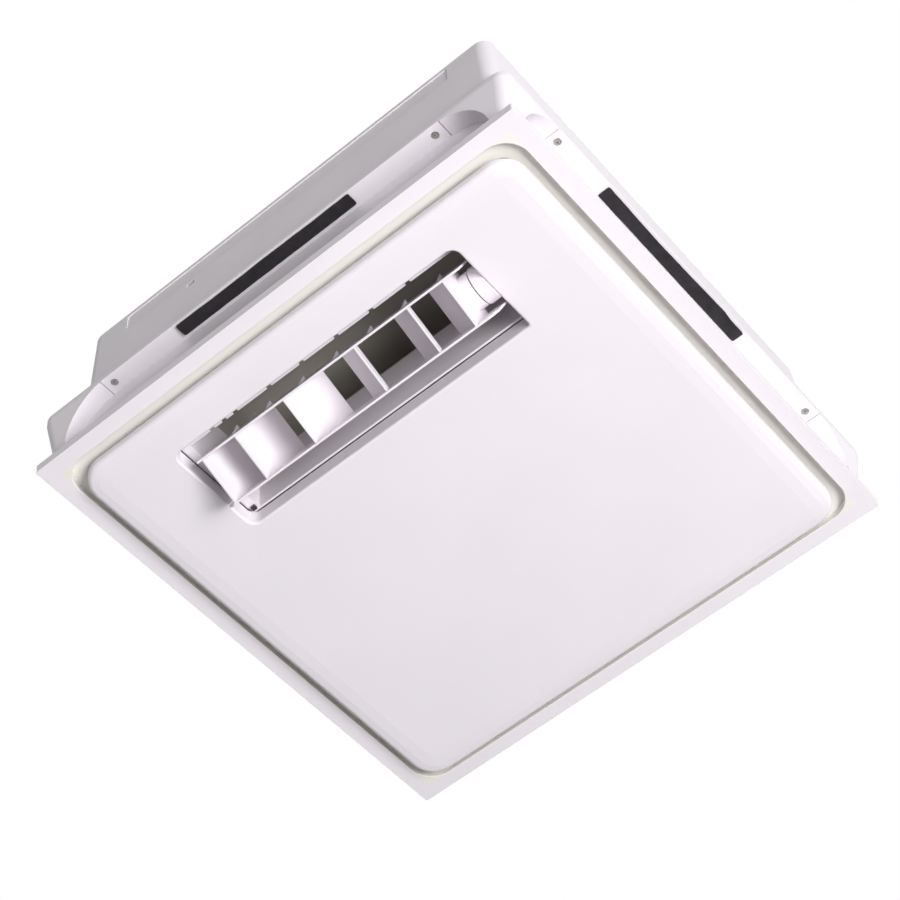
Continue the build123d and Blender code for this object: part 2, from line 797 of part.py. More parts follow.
def make_swing_screws():
    face_x = duct_half_length + swing_ear_sheet
    screws = []
    for y in swing_ear_places():
        head = cross_rod(face_x, face_x + screw_head_height, y, swing_motor_z(), screw_head_radius)
        shank = cross_rod(duct_half_length - duct_wall, face_x, y, swing_motor_z(), screw_radius)
        screws.append(head + shank)
    return screws


def blade_section():
    """One forward-curved blade in plan, for a wheel that turns clockwise seen from above."""
    lean = radians(blade_lean)
    tip = wheel_radius - blade_tip_inset
    eye_end = Vector(blade_inner_radius, 0)
    rim_end = Vector(tip * cos(lean), -tip * sin(lean))
    chord = rim_end - eye_end
    across = Vector(-chord.Y, chord.X).normalized()
    middle = (eye_end + rim_end) / 2 + across * blade_sag
    shift = across * blade_thickness
    belly = ThreePointArc(eye_end, middle, rim_end)
    back = ThreePointArc(rim_end + shift, middle + shift, eye_end + shift)
    return make_face(belly + Line(belly @ 1, back @ 0) + back + Line(back @ 1, belly @ 0))


def make_impeller():
    web_low = hub_web_z
    rim_low = wheel_top - hub_web
    web = Plane.XZ * make_face(Polyline(
        (fan_shaft_radius, web_low), (hub_flat_radius, web_low), (blade_inner_radius, rim_low),
        (wheel_radius, rim_low), (wheel_radius, wheel_top), (blade_inner_radius - hub_web, wheel_top),
        (hub_flat_radius - hub_web / 2, web_low + hub_web), (fan_shaft_radius, web_low + hub_web),
        close=True))
    body = revolve(web, Axis.Z)
    boss = rod(0, 0, web_low - hub_boss_length + hub_web, web_low + hub_web, hub_boss_radius)
    ring = rod(0, 0, wheel_bottom, wheel_bottom + wheel_ring, wheel_radius)
    ring -= rod(0, 0, wheel_bottom - 1, wheel_bottom + wheel_ring + 1, wheel_radius - wheel_ring_width)
    blade_height = rim_low - wheel_bottom + hub_web / 2
    blade = Pos(0, 0, wheel_bottom) * extrude(blade_section(), amount=blade_height)
    blades = [Rot(0, 0, 360 * turn / blade_count) * blade for turn in range(blade_count)]
    body = body + boss + ring + blades
    body -= rod(0, 0, 0, wheel_top, fan_shaft_radius)
    return Pos(fan_x, fan_y, 0) * body


def make_impeller_nut():
    top = hub_web_z - hub_boss_length + hub_web
    nut = Plane.XY.offset(top - nut_height) * RegularPolygon(nut_flats / 2, 6, major_radius=False)
    body = extrude(nut, amount=nut_height)
    body -= rod(0, 0, 0, top + 1, fan_shaft_radius)
    return Pos(fan_x, fan_y, 0) * body


def make_motor_shaft():
    low = hub_web_z - hub_boss_length + hub_web - nut_height - shaft_tail
    high = motor_seat - motor_wall
    shaft = rod(fan_x, fan_y, low, high, fan_shaft_radius)
    return chamfer(shaft.edges().sort_by(Axis.Z)[0], shaft_chamfer)


def make_motor_can():
    low = motor_bottom
    can = rod(0, 0, low, motor_seat, motor_radius)
    can = fillet(can.faces().sort_by(Axis.Z)[0].edges(), can_round)
    can -= rod(0, 0, low + motor_wall, motor_seat + 1, motor_radius - motor_wall)
    cup = rod(0, 0, low, low + motor_wall + bearing_width, bearing_radius + motor_wall)
    can += cup
    can -= rod(0, 0, low + motor_wall, low + motor_wall + bearing_width + 1, bearing_radius)
    can -= rod(0, 0, low - 1, low + motor_wall + 1, fan_shaft_radius + 1)
    return Pos(fan_x, fan_y, 0) * can


def make_motor_plate():
    top = motor_seat + motor_plate_sheet
    arm = motor_plate_radius - motor_screw_circle
    body = rod(fan_x, fan_y, motor_seat, top, motor_radius + motor_wall)
    body += rod(fan_x, fan_y, motor_seat - bearing_width, motor_seat, bearing_radius + motor_wall)
    bar = block(0, motor_screw_circle, -arm, arm, motor_seat, top)
    for index, (x, y) in enumerate(motor_screw_places()):
        body += rod(x, y, motor_seat, top, arm)
        body += Pos(fan_x, fan_y, 0) * Rot(0, 0, 90 + 360 * index / motor_screw_count) * bar
    body -= rod(fan_x, fan_y, motor_seat - bearing_width - 1, motor_seat, bearing_radius)
    for x, y in motor_screw_places():
        body -= rod(x, y, motor_seat - 1, top + 1, screw_radius + screw_gap)
    return body


def make_motor_bearings():
    bearings = []
    for start in (motor_bottom + motor_wall, motor_seat - bearing_width):
        stop = start + bearing_width
        ring = rod(fan_x, fan_y, start, stop, bearing_radius)
        ring -= rod(fan_x, fan_y, start - 1, stop + 1, fan_shaft_radius + bearing_gap)
        groove = rod(fan_x, fan_y, start - 1, start + bearing_groove, bearing_radius - bearing_land)
        groove -= rod(fan_x, fan_y, start - 1, start + bearing_groove, fan_shaft_radius + bearing_land)
        bearings.append(ring - groove)
    return bearings


def stator_gaps(low, high):
    """The slots between the stator's teeth, as solids."""
    slot = block(stator_bore + stator_tooth_tip, stator_outer - stator_wall,
                 -slot_half_width, slot_half_width, low, high)
    return [Rot(0, 0, 360 * turn / stator_slots) * slot for turn in range(stator_slots)]


def make_stator():
    high = stator_low + stator_height
    core = rod(0, 0, stator_low, high, stator_outer) - rod(0, 0, stator_low - 1, high + 1, stator_bore)
    mouth = block(stator_bore - 1, stator_bore + stator_tooth_tip + 1, -slot_mouth, slot_mouth,
                  stator_low - 1, high + 1)
    for turn in range(stator_slots):
        core -= Rot(0, 0, 360 * turn / stator_slots) * mouth
    for gap in stator_gaps(stator_low - 1, high + 1):
        core -= gap
    return Pos(fan_x, fan_y, 0) * core


def make_winding():
    high = stator_low + stator_height
    inner = stator_bore + stator_tooth_tip
    outer = stator_outer - stator_wall
    body = Part() + stator_gaps(stator_low, high)
    for low in (stator_low - winding_height, high):
        ring = rod(0, 0, low, low + winding_height, outer)
        ring -= rod(0, 0, low - 1, low + winding_height + 1, inner)
        body += fillet(ring.edges(), winding_round)
    return Pos(fan_x, fan_y, 0) * body


def make_rotor_magnet():
    low = stator_low - 1
    body = rod(fan_x, fan_y, low, low + magnet_height, stator_bore - magnet_gap)
    body = chamfer(body.edges().group_by(Axis.Z)[0] + body.edges().group_by(Axis.Z)[-1], shaft_chamfer)
    return body - rod(fan_x, fan_y, low - 1, low + magnet_height + 1, fan_shaft_radius)


def make_motor_grommets():
    grommets = []
    groove = Torus(grommet_radius + grommet_waist_out, grommet_waist)
    for x, y in motor_screw_places():
        ring = rod(x, y, lid_top, motor_seat, grommet_radius)
        waist = Pos(x, y, (lid_top + motor_seat) / 2) * groove
        grommets.append(ring - waist - rod(x, y, 0, body_height, screw_radius + screw_gap))
    return grommets


def make_motor_screws():
    top = motor_seat + motor_plate_sheet
    return [pan_screw(x, y, top, top - scroll_top) for x, y in motor_screw_places()]


def outlet_sketch(grow):
    """The outlet opening, grown on every side; its rear right corner is sharper than the others."""
    length = outlet_length + outlet_left_reach + 2 * grow
    sketch = Pos(-outlet_left_reach / 2, outlet_centre_y) * Rectangle(length, outlet_width + 2 * grow)
    left = sketch.vertices().group_by(Axis.X)[0]
    right = sketch.vertices().group_by(Axis.X)[-1].sort_by(Axis.Y)
    sketch = fillet(left + right[:1], outlet_soft_corner + grow)
    rear = sketch.vertices().group_by(Axis.Y)[-1].sort_by(Axis.X)
    return fillet(rear[-1], outlet_corner + grow)


def panel_form(inset):
    """The face panel's outer form, drawn in by an inset; its face falls away toward the edge."""
    levels = []
    for back, fall in panel_crown:
        side = 2 * (panel_half - inset - back)
        levels.append(square(side, panel_radius - inset - back, inset + fall - panel_drop))
    form = loft(levels, ruled=True)
    edge_z = inset + panel_crown[-1][1] - panel_drop
    form += slab(levels[-1], panel_skirt_top - edge_z + (1 if inset else 0))
    edge = form.edges().filter_by_position(Axis.Z, edge_z - slip_gap, edge_z + slip_gap)
    return fillet(edge, panel_roll - inset)


def make_face_panel():
    body = panel_form(0) - panel_form(wall)
    inner_y = panel_half - 2 * panel_roll
    front_edge = outlet_centre_y - outlet_width / 2 - duct_wall
    rear_edge = outlet_centre_y + outlet_width / 2 + duct_wall
    count = int(inner_y // panel_rib_pitch)
    low = panel_back - wall / 2
    high = panel_back + panel_rib_height
    for index in range(-count, count + 1):
        place = index * panel_rib_pitch
        rib = block(place, place + panel_rib, -inner_y, inner_y, low, high)
        body += rib - block(-half, half, front_edge, rear_edge, -half, half)
        if not front_edge - panel_rib < place < rear_edge:
            body += block(-inner_y, inner_y, place, place + panel_rib, low, high)
    for x, y in four_corners(catch_x, catch_y):
        body += rod(x, y, low, catch_height - 1, post_radius)
        body += rod(x, y, catch_height - 2, catch_height + catch_sheet + stud_neck, stud_neck)
        body += Pos(x, y, catch_height + catch_sheet + stud_neck) * Sphere(stud_radius)
    return_height = outlet_return_top + panel_drop - wall / 2
    body += Pos(0, 0, wall / 2 - panel_drop) * extrude(outlet_sketch(duct_wall), amount=return_height)
    body -= Pos(0, 0, -panel_drop - 1) * extrude(outlet_sketch(0), amount=half)
    front = body.faces().sort_by(Axis.Z)[0]
    body = fillet(front.inner_wires()[0].edges(), outlet_lip)
    notch = swing_ear_half + swing_ear_radius + run_gap
    body -= block(outlet_length / 2 - 1, outlet_length / 2 + duct_wall + 1, outlet_centre_y - notch,
                  outlet_centre_y + notch, swing_motor_z() - swing_can_radius - run_gap, half)
    return body


def make_panel_catches():
    catches = []
    for x, y in four_corners(catch_x, catch_y):
        side = 1 if x > 0 else -1
        reach = sorted((side * (catch_x - catch_width / 2), side * catch_face))
        back = sorted((side * (catch_face - catch_sheet), side * catch_face))
        low, high = y - catch_width / 2, y + catch_width / 2
        piece = block(*reach, low, high, catch_height, catch_height + catch_sheet)
        piece += block(*back, low, high, catch_height, catch_height + catch_foot)
        piece -= rod(x, y, 0, half, socket_radius - 2)
        piece -= cross_rod(reach[0] - 1, reach[1] + 1, y, catch_screw_z, screw_radius + screw_gap)
        catches.append(piece)
    return catches


def make_catch_sockets():
    sockets = []
    for x, y in four_corners(catch_x, catch_y):
        low = catch_height + catch_sheet
        body = rod(x, y, low, low + socket_height, socket_radius)
        body += rod(x, y, catch_height - 1, low, socket_radius - 2 - screw_gap)
        body -= rod(x, y, 0, low + stud_neck, stud_neck + screw_gap)
        body -= Pos(x, y, low + stud_neck) * Sphere(stud_radius + screw_gap)
        body -= block(x - socket_slit / 2, x + socket_slit / 2, y - socket_radius, y + socket_radius,
                      low + 1, low + socket_height + 1)
        sockets.append(body)
    return sockets


def make_catch_screws():
    screws = []
    for x, y in four_corners(catch_x, catch_y):
        side = 1 if x > 0 else -1
        face = catch_face - catch_sheet
        head = sorted((side * face, side * (face - screw_head_height)))
        shank = sorted((side * face, side * (chamber_half - 1)))
        screws.append(cross_rod(*head, y, catch_screw_z, screw_head_radius)
                      + cross_rod(*shank, y, catch_screw_z, screw_radius))
    return screws


def make_frame_screws():
    top = tray_base + wall
    return [pan_screw(x, y, top, top - rim_sheet - wall) for x, y in four_corners(frame_screw, frame_screw)]


def make_housing_screws():
    screws = []
    for side in (-1, 1):
        screw = pan_screw(side * housing_screw_x, -screw_inset, ledge_height + screw_head_height,
                          flange_top + housing_boss_height - 2 * wall - ledge_height - screw_head_height,
                          down=False)
        screws += four_sides(screw)
    return screws


def make_duct_screws():
    face = ledge_top - duct_wall
    return [pan_screw(x, y, face, duct_wall + thin_wall, down=False) for x, y in duct_screw_places()]


def make_scroll_screws():
    face = plate_top + wall
    places = scroll_screw_places() + elbow_screw_places()
    return [pan_screw(x, y, face, wall + thin_wall) for x, y in places]


def make_foam_pad(turn):
    middle = ledge_height - slip_gap - pad_thickness / 2
    pad = Pos(pad_shifts[turn], -pad_inset, middle) * Box(pad_length, pad_width, pad_thickness)
    pad = fillet(pad.edges().filter_by(Axis.Z), pad_corner)
    return Rot(0, 0, 90 * turn) * pad


def make_hanger_brackets():
    brackets = []
    for x, y in hanger_places():
        top = body_height + hanger_rise
        foot = block(-hanger_width / 2, hanger_width / 2, -hanger_foot / 2, hanger_foot / 2,
                     body_height, body_height + hanger_sheet)
        riser = block(-hanger_width / 2, hanger_width / 2, hanger_foot / 2 - hanger_sheet, hanger_foot / 2,
                      body_height, top)
        tab = block(-hanger_width / 2, hanger_width / 2, hanger_foot / 2 - hanger_sheet,
                    hanger_foot / 2 + hanger_tab, top - hanger_sheet, top)
        tab = fillet(tab.edges().filter_by(Axis.Z).group_by(Axis.Y)[-1], hanger_tab_round)
        tab -= rod(0, hanger_foot / 2 + hanger_tab / 2, 0, half, rod_hole_radius)
        piece = foot + riser + tab
        for side in (-1, 1):
            piece -= rod(side * hanger_screw_x, 0, 0, half, screw_radius + screw_gap)
        brackets.append(Pos(x, y, 0) * Rot(0, 0, 180 if y < 0 else 0) * piece)
    return brackets


def make_hanger_screws():
    top = body_height + hanger_sheet
    return [pan_screw(x + side * hanger_screw_x, y, top, hanger_sheet + wall)
            for x, y in hanger_places() for side in (-1, 1)]


def control_limits():
    """The control box's outer limits in plan."""
    front = box_rear + control_gap_y
    return control_left, control_right, front, front + control_depth


def make_control_box():
    x0, x1, y0, y1 = control_limits()
    body = block(x0, x1, y0, y1, flange_top, flange_top + control_height)
    body = fillet(body.edges().filter_by(Axis.Z), box_corner_radius)
    body -= block(x0 + control_wall, x1 - control_wall, y0 + control_wall, y1 - control_wall,
                  flange_top + control_wall, half)
    middle = (y0 + y1) / 2
    for x in board_posts():
        for side in (-1, 1):
            body += rod(x, middle + side * board_post_y, flange_top + control_wall / 2,
                        flange_top + control_wall + board_standoff, screw_radius + control_wall)
    for x, y in box_screw_places():
        body += rod(x, y, flange_top + control_wall / 2, flange_top + control_height, lid_boss_radius)
        body -= rod(x, y, flange_top + control_height - 2 * lid_boss_radius, flange_top + control_height + 1,
                    screw_radius + thread_gap)
    body -= cross_rod(x1 - 2 * control_wall, x1 + 1, middle, gland_z(), gland_radius - 2)
    for x, y in box_fixing_places():
        body -= rod(x, y, flange_top - 1, flange_top + control_wall + 1, screw_radius + screw_gap)
    return body


def gland_z():
    """The height of the cable gland's axis."""
    return flange_top + control_height / 2


def board_posts():
    """Where the circuit board stands along X."""
    return [control_left + board_left_post, control_right - board_right_post]


def box_screw_places():
    x0, x1, y0, y1 = control_limits()
    inset = control_wall + lid_boss_radius - seat_overlap
    return [(x0 + inset, y0 + inset), (x1 - inset, y1 - inset)]


def box_fixing_places():
    """Screws through the box's floor into the upper housing's flange."""
    x0, x1, y0, y1 = control_limits()
    inset = control_wall + lid_boss_radius - seat_overlap
    return [(x1 - box_fixing_inset, (y0 + y1) / 2), (x0 + inset, y1 - inset)]


def make_fixing_screws():
    face = flange_top + control_wall
    return [pan_screw(x, y, face, control_wall + wall) for x, y in box_fixing_places()]


def make_control_lid():
    x0, x1, y0, y1 = control_limits()
    top = flange_top + control_height
    lid = block(x0, x1, y0, y1, top, top + lid_sheet)
    lid = fillet(lid.edges().filter_by(Axis.Z), box_corner_radius)
    for x, y in box_screw_places():
        lid -= rod(x, y, top - 1, top + lid_sheet + 1, screw_radius + screw_gap)
    return lid


def make_box_screws():
    top = flange_top + control_height + lid_sheet
    return [pan_screw(x, y, top, lid_sheet + 2 * lid_boss_radius - 1) for x, y in box_screw_places()]


def make_circuit_board():
    y0, y1 = control_limits()[2:]
    low = flange_top + control_wall + board_standoff
    middle = (y0 + y1) / 2
    start = board_posts()[0] - board_overhang
    stop = board_posts()[-1] + board_overhang
    top = low + board_sheet
    board = block(start, stop, middle - board_half, middle + board_half, low, top)
    for x in capacitor_starts:
        can = rod(start + x, middle + capacitor_y, top, top + capacitor_height, capacitor_radius)
        board += fillet(can.edges().sort_by(Axis.Z)[-1], 1.0)
    for x, y, length, width, rise in board_components:
        board += block(start + x, start + x + length, middle + y, middle + y + width, top, top + rise)
    return board


def make_terminal_block():
    y0, y1 = control_limits()[2:]
    middle = (y0 + y1) / 2
    low = flange_top + control_wall
    start = control_right - terminal_inset
    stop = start + terminal_length
    centre = start + terminal_length / 2
    body = block(start, stop, middle - terminal_half, middle + terminal_half, low, low + terminal_height)
    for index in (-1, 0, 1):
        y = middle + terminal_pitch * index
        body -= rod(centre, y, low + terminal_height / 2, low + terminal_height + 1, terminal_screw_radius)
        body -= cross_rod(centre, stop + 1, y, low + terminal_wire_z, terminal_wire_radius)
    return body


def make_cable_gland():
    x1, y0, y1 = control_limits()[1:]
    middle = (y0 + y1) / 2
    z = gland_z()
    neck_radius = gland_radius - 2 - screw_gap
    inside = x1 - control_wall
    third = gland_length / 3
    body = cross_rod(inside - wall, x1, middle, z, neck_radius)
    body += cross_rod(x1, x1 + third, middle, z, gland_radius)
    nut = Plane.YZ * RegularPolygon(gland_radius, 6)
    body += Pos(x1 + third, middle, z) * extrude(nut, amount=third)
    cone = Plane.XZ * make_face(Polyline(
        (0, 0), (gland_radius - 1, 0), (gland_radius - 3, third), (0, third), close=True))
    body += Pos(x1 + 2 * third, middle, z) * Rot(0, 90, 0) * revolve(cone, Axis.Z)
    body -= cross_rod(inside - wall - 1, x1 + gland_length + 1, middle, z, gland_bore)
    lock_ring = cross_rod(inside - wall, inside, middle, z, gland_radius)
    lock_ring -= cross_rod(inside - wall - 1, inside + 1, middle, z, neck_radius)
    return [body, lock_ring]


def make_receiver():
    x = receiver_inset - outlet_length / 2 - outlet_left_reach
    y = outlet_centre_y + outlet_width / 2 - receiver_inset
    body = block(x, x + receiver_length, y - receiver_depth, y, duct_bottom - receiver_drop, duct_bottom)
    return fillet(body.faces().sort_by(Axis.Z)[0].edges(), 1.0)


nodes = {
    "trim_frame": make_trim_frame,
    "face_panel": make_face_panel,
    "lower_tray": make_lower_tray,
    "upper_housing": make_upper_housing,
    "orifice_plate": make_orifice_plate,
    "scroll_casing": make_scroll_casing,
    "outlet_elbow": make_outlet_elbow,
    "louver_duct": make_louver_duct,
    "impeller": make_impeller,
    "impeller_nut": make_impeller_nut,
    "motor_shaft": make_motor_shaft,
    "rotor_magnet": make_rotor_magnet,
    "motor_can": make_motor_can,
    "motor_plate": make_motor_plate,
    "motor_bearings": make_motor_bearings,
    "stator_core": make_stator,
    "stator_winding": make_winding,
    "motor_grommets": make_motor_grommets,
    "motor_screws": make_motor_screws,
    "louver_frame": make_louver_frame,
    "pivot_pin": make_pivot_pin,
    "pivot_bush": make_pivot_bush,
    "swing_motor": make_swing_motor,
    "swing_shaft": make_swing_shaft,
    "swing_motor_screws": make_swing_screws,
    "panel_catches": make_panel_catches,
    "catch_sockets": make_catch_sockets,
    "catch_screws": make_catch_screws,
    "frame_screws": make_frame_screws,
    "housing_screws": make_housing_screws,
    "duct_screws": make_duct_screws,
    "scroll_screws": make_scroll_screws,
    "hanger_brackets": make_hanger_brackets,
    "hanger_screws": make_hanger_screws,
    "control_box": make_control_box,
    "control_box_lid": make_control_lid,
    "box_screws": make_box_screws,
    "box_fixing_screws": make_fixing_screws,
    "circuit_board": make_circuit_board,
    "terminal_block": make_terminal_block,
    "cable_gland": make_cable_gland,
    "receiver": make_receiver,
}


def main():
    os.makedirs("parts", exist_ok=True)
    made = {name: make() for name, make in nodes.items()}
    for number, front_x in enumerate(vane_fronts, start=1):
        made[f"louver_vane_{number}"] = vane(front_x)
    for turn, side in enumerate(("front", "right", "rear", "left")):
        made[f"foam_pad_{side}"] = make_foam_pad(turn)
    for name, shape in made.items():
        if isinstance(shape, list):
            shape = Compound(children=shape)
        export_step(shape, f"parts/{name}.step")


main()
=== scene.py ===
import math

import bmesh
import bpy
from mathutils import Matrix, Vector, noise
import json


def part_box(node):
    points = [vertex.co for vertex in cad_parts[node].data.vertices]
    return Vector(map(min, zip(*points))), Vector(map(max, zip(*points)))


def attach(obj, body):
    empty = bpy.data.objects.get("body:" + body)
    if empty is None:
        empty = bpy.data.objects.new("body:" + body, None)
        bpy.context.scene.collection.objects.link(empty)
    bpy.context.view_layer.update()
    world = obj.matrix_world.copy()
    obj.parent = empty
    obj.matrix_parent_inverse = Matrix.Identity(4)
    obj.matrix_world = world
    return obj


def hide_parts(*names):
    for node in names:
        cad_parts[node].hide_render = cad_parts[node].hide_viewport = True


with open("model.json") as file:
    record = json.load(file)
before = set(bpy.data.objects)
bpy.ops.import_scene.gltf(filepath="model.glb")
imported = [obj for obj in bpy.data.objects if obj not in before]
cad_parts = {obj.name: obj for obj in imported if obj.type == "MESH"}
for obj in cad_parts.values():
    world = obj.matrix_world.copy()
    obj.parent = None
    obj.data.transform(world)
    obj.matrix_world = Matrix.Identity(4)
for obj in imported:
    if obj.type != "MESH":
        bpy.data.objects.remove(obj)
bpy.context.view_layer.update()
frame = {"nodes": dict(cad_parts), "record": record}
nodes = frame["nodes"]

# Metres in the part's own frame: +Z up into the ceiling, the room is below
MM = 0.001
FAN_AXIS = Vector((-0.0215, 0.060, 0.0))
WHITE = (1.0, 1.0, 1.0, 1.0)
# Sockets of a Mix node that is set to colour
MIX_A, MIX_B, MIX_RESULT = 6, 7, 2


class Shader:
    """A material with a principled shader, and short calls that add its nodes."""

    def __init__(self, name, colour, roughness, metallic=0.0):
        self.material = bpy.data.materials.new(name)
        self.material.use_nodes = True
        self.tree = self.material.node_tree
        self.main = self.tree.nodes["Principled BSDF"]
        self.main.inputs["Base Color"].default_value = (*colour, 1.0)
        self.main.inputs["Roughness"].default_value = roughness
        self.main.inputs["Metallic"].default_value = metallic
        self.colour = colour
        self.place = self.add("ShaderNodeTexCoord").outputs["Object"]
        self.normal = None

    def add(self, kind, **settings):
        node = self.tree.nodes.new(kind)
        for key, value in settings.items():
            setattr(node, key, value)
        return node

    def link(self, source, target):
        self.tree.links.new(source, target)

    def stretched(self, scale, centre=(0.0, 0.0, 0.0)):
        """Object coordinates about a centre, scaled by axis."""
        mapping = self.add("ShaderNodeMapping")
        mapping.inputs["Location"].default_value = [-c * s for c, s in zip(centre, scale)]
        mapping.inputs["Scale"].default_value = scale
        self.link(self.place, mapping.inputs["Vector"])
        return mapping.outputs["Vector"]

    def noise(self, scale, detail=3.0, rough=0.5, vector=None):
        node = self.add("ShaderNodeTexNoise")
        node.inputs["Scale"].default_value = scale
        node.inputs["Detail"].default_value = detail
        node.inputs["Roughness"].default_value = rough
        self.link(vector or self.place, node.inputs["Vector"])
        return node.outputs["Fac"]

    def cells(self, scale):
        node = self.add("ShaderNodeTexVoronoi")
        node.inputs["Scale"].default_value = scale
        self.link(self.place, node.inputs["Vector"])
        return node

    def bands(self, scale, direction, distortion=0.0, vector=None, kind="BANDS"):
        node = self.add("ShaderNodeTexWave", wave_type=kind)
        if kind == "BANDS":
            node.bands_direction = direction
        else:
            node.rings_direction = direction
        node.inputs["Scale"].default_value = scale
        node.inputs["Distortion"].default_value = distortion
        self.link(vector or self.place, node.inputs["Vector"])
        return node.outputs["Fac"]

    def spread(self, value, low, high, start=0.3, stop=0.7):
        """Takes a value's range from start to stop to the range from low to high."""
        node = self.add("ShaderNodeMapRange")
        for key, number in (("From Min", start), ("From Max", stop), ("To Min", low), ("To Max", high)):
            node.inputs[key].default_value = number
        self.link(value, node.inputs["Value"])
        return node.outputs["Result"]

    def tint(self, value, dark, light, start=0.3, stop=0.7):
        """Base colour that goes from dark to light times the own colour with a value."""
        shades = [[min(1.0, c * factor) for c in self.colour] for factor in (dark, light)]
        self.ramp(value, list(zip((start, stop), shades)))

    def ramp(self, value, stops):
        """Base colour from a list of (place, colour)."""
        ramp = self.add("ShaderNodeValToRGB")
        ends = ramp.color_ramp.elements
        while len(ends) < len(stops):
            ends.new(0.5)
        for end, (place, colour) in zip(ends, stops):
            end.position = place
            end.color = (*colour, 1.0)
        self.link(value, ramp.inputs["Fac"])
        self.link(ramp.outputs["Color"], self.main.inputs["Base Color"])

    def shine(self, value, low, high, start=0.3, stop=0.7):
        self.link(self.spread(value, low, high, start, stop), self.main.inputs["Roughness"])

    def soften(self, radius):
        """Rounds the light on edges over a radius."""
        node = self.add("ShaderNodeBevel", samples=4)
        node.inputs["Radius"].default_value = radius
        self.normal = node.outputs["Normal"]
        self.link(self.normal, self.main.inputs["Normal"])

    def relief(self, value, distance, strength=1.0):
        """Bump of a height in metres, on top of any relief before it."""
        node = self.add("ShaderNodeBump")
        node.inputs["Distance"].default_value = distance
        node.inputs["Strength"].default_value = strength
        self.link(value, node.inputs["Height"])
        if self.normal:
            self.link(self.normal, node.inputs["Normal"])
        self.normal = node.outputs["Normal"]
        self.link(self.normal, self.main.inputs["Normal"])


def moulded(name, colour, roughness, edge=0.5 * MM, grain=0.03 * MM, sink=0.06 * MM, inside=None):
    """Injection moulded plastic: fine spark grain, slight sink waves, faint flow marks and dust.

    inside is the half side of a square about the centre, and the colour in it, a painted tint of warm
    bounce light.
    """
    s = Shader(name, colour, roughness)
    s.tint(s.noise(9.0, 4.0), 0.985, 1.012)
    # Inside the square a second colour is mixed in: painted warm bounce light
    if inside:
        split = s.add("ShaderNodeSeparateXYZ")
        s.link(s.place, split.inputs["Vector"])
        reach = s.add("ShaderNodeMath", operation="MAXIMUM")
        for i, axis in enumerate("XY"):
            side = s.add("ShaderNodeMath", operation="ABSOLUTE")
            s.link(split.outputs[axis], side.inputs[0])
            s.link(side.outputs["Value"], reach.inputs[i])
        limit, painted_inner_colour = inside
        fade = 0.3 * MM
        mask = s.spread(reach.outputs["Value"], 1.0, 0.0, limit - fade, limit + fade)
        mix = s.add("ShaderNodeMix", data_type="RGBA")
        s.link(mask, mix.inputs["Factor"])
        s.link(s.main.inputs["Base Color"].links[0].from_socket, mix.inputs[MIX_A])
        mix.inputs[MIX_B].default_value = (*painted_inner_colour, 1.0)
        s.link(mix.outputs[MIX_RESULT], s.main.inputs["Base Color"])
    s.shine(s.noise(26.0, 5.0, 0.6), roughness - 0.05, roughness + 0.06)
    s.soften(edge)
    s.relief(s.noise(14.0, 2.0), sink, 0.5)
    s.relief(s.noise(1500.0, 2.0, 0.6), grain, 0.7)
    s.main.inputs["Specular IOR Level"].default_value = 0.45
    return s.material


def galvanised():
    s = Shader("galvanised_sheet", (0.60, 0.615, 0.63), 0.36, 1.0)
    crystals = s.cells(150.0)
    s.ramp(crystals.outputs["Color"], [(0.0, (0.50, 0.515, 0.53)), (0.5, (0.62, 0.635, 0.65)),
                                       (1.0, (0.72, 0.73, 0.74))])
    s.shine(crystals.outputs["Color"], 0.27, 0.46, 0.0, 1.0)
    s.soften(0.3 * MM)
    s.relief(s.noise(700.0, 4.0), 0.03 * MM, 0.6)
    return s.material


def zinc():
    s = Shader("zinc_plate", (0.66, 0.65, 0.60), 0.30, 1.0)
    s.tint(s.noise(420.0, 4.0), 0.86, 1.08)
    s.shine(s.noise(900.0, 3.0), 0.22, 0.42)
    s.soften(0.25 * MM)
    s.relief(s.noise(2200.0, 2.0), 0.02 * MM, 0.6)
    return s.material


def ground_steel():
    s = Shader("ground_steel", (0.63, 0.635, 0.645), 0.22, 1.0)
    marks = s.noise(1.0, 5.0, 0.6, s.stretched((90.0, 90.0, 4200.0)))
    s.tint(marks, 0.90, 1.06)
    s.shine(marks, 0.16, 0.32)
    s.relief(marks, 0.01 * MM, 0.5)
    return s.material


def ferrite():
    s = Shader("ferrite", (0.060, 0.060, 0.065), 0.55)
    s.tint(s.noise(900.0, 5.0, 0.7), 0.7, 1.5)
    s.shine(s.noise(260.0, 4.0), 0.42, 0.68)
    s.relief(s.noise(1400.0, 4.0, 0.7), 0.06 * MM, 0.8)
    return s.material


def laminated_steel():
    """Stacked electrical sheets half a millimetre thick."""
    s = Shader("laminated_core", (0.34, 0.35, 0.37), 0.42, 1.0)
    sheets = s.bands(628.0, "Z")
    s.tint(sheets, 0.62, 1.12, 0.1, 0.6)
    s.shine(s.noise(300.0, 4.0), 0.34, 0.54)
    s.relief(sheets, 0.08 * MM, 0.8)
    return s.material


def enamelled_copper():
    """Round turns of wire about the fan's axis, varnished."""
    s = Shader("wound_copper", (0.55, 0.20, 0.075), 0.30, 1.0)
    turns = s.bands(560.0, "Z", 1.2, s.stretched((1.0, 1.0, 1.0), FAN_AXIS), "RINGS")
    s.tint(turns, 0.45, 1.15, 0.1, 0.7)
    s.shine(s.noise(500.0, 3.0), 0.22, 0.42)
    s.relief(turns, 0.25 * MM, 0.9)
    s.main.inputs["Coat Weight"].default_value = 0.5
    s.main.inputs["Coat Roughness"].default_value = 0.15
    return s.material


def rubber(name, colour):
    s = Shader(name, colour, 0.62)
    s.tint(s.noise(260.0, 4.0), 0.8, 1.35)
    s.shine(s.noise(120.0, 4.0), 0.52, 0.74)
    s.relief(s.noise(1300.0, 3.0), 0.05 * MM, 0.7)
    return s.material


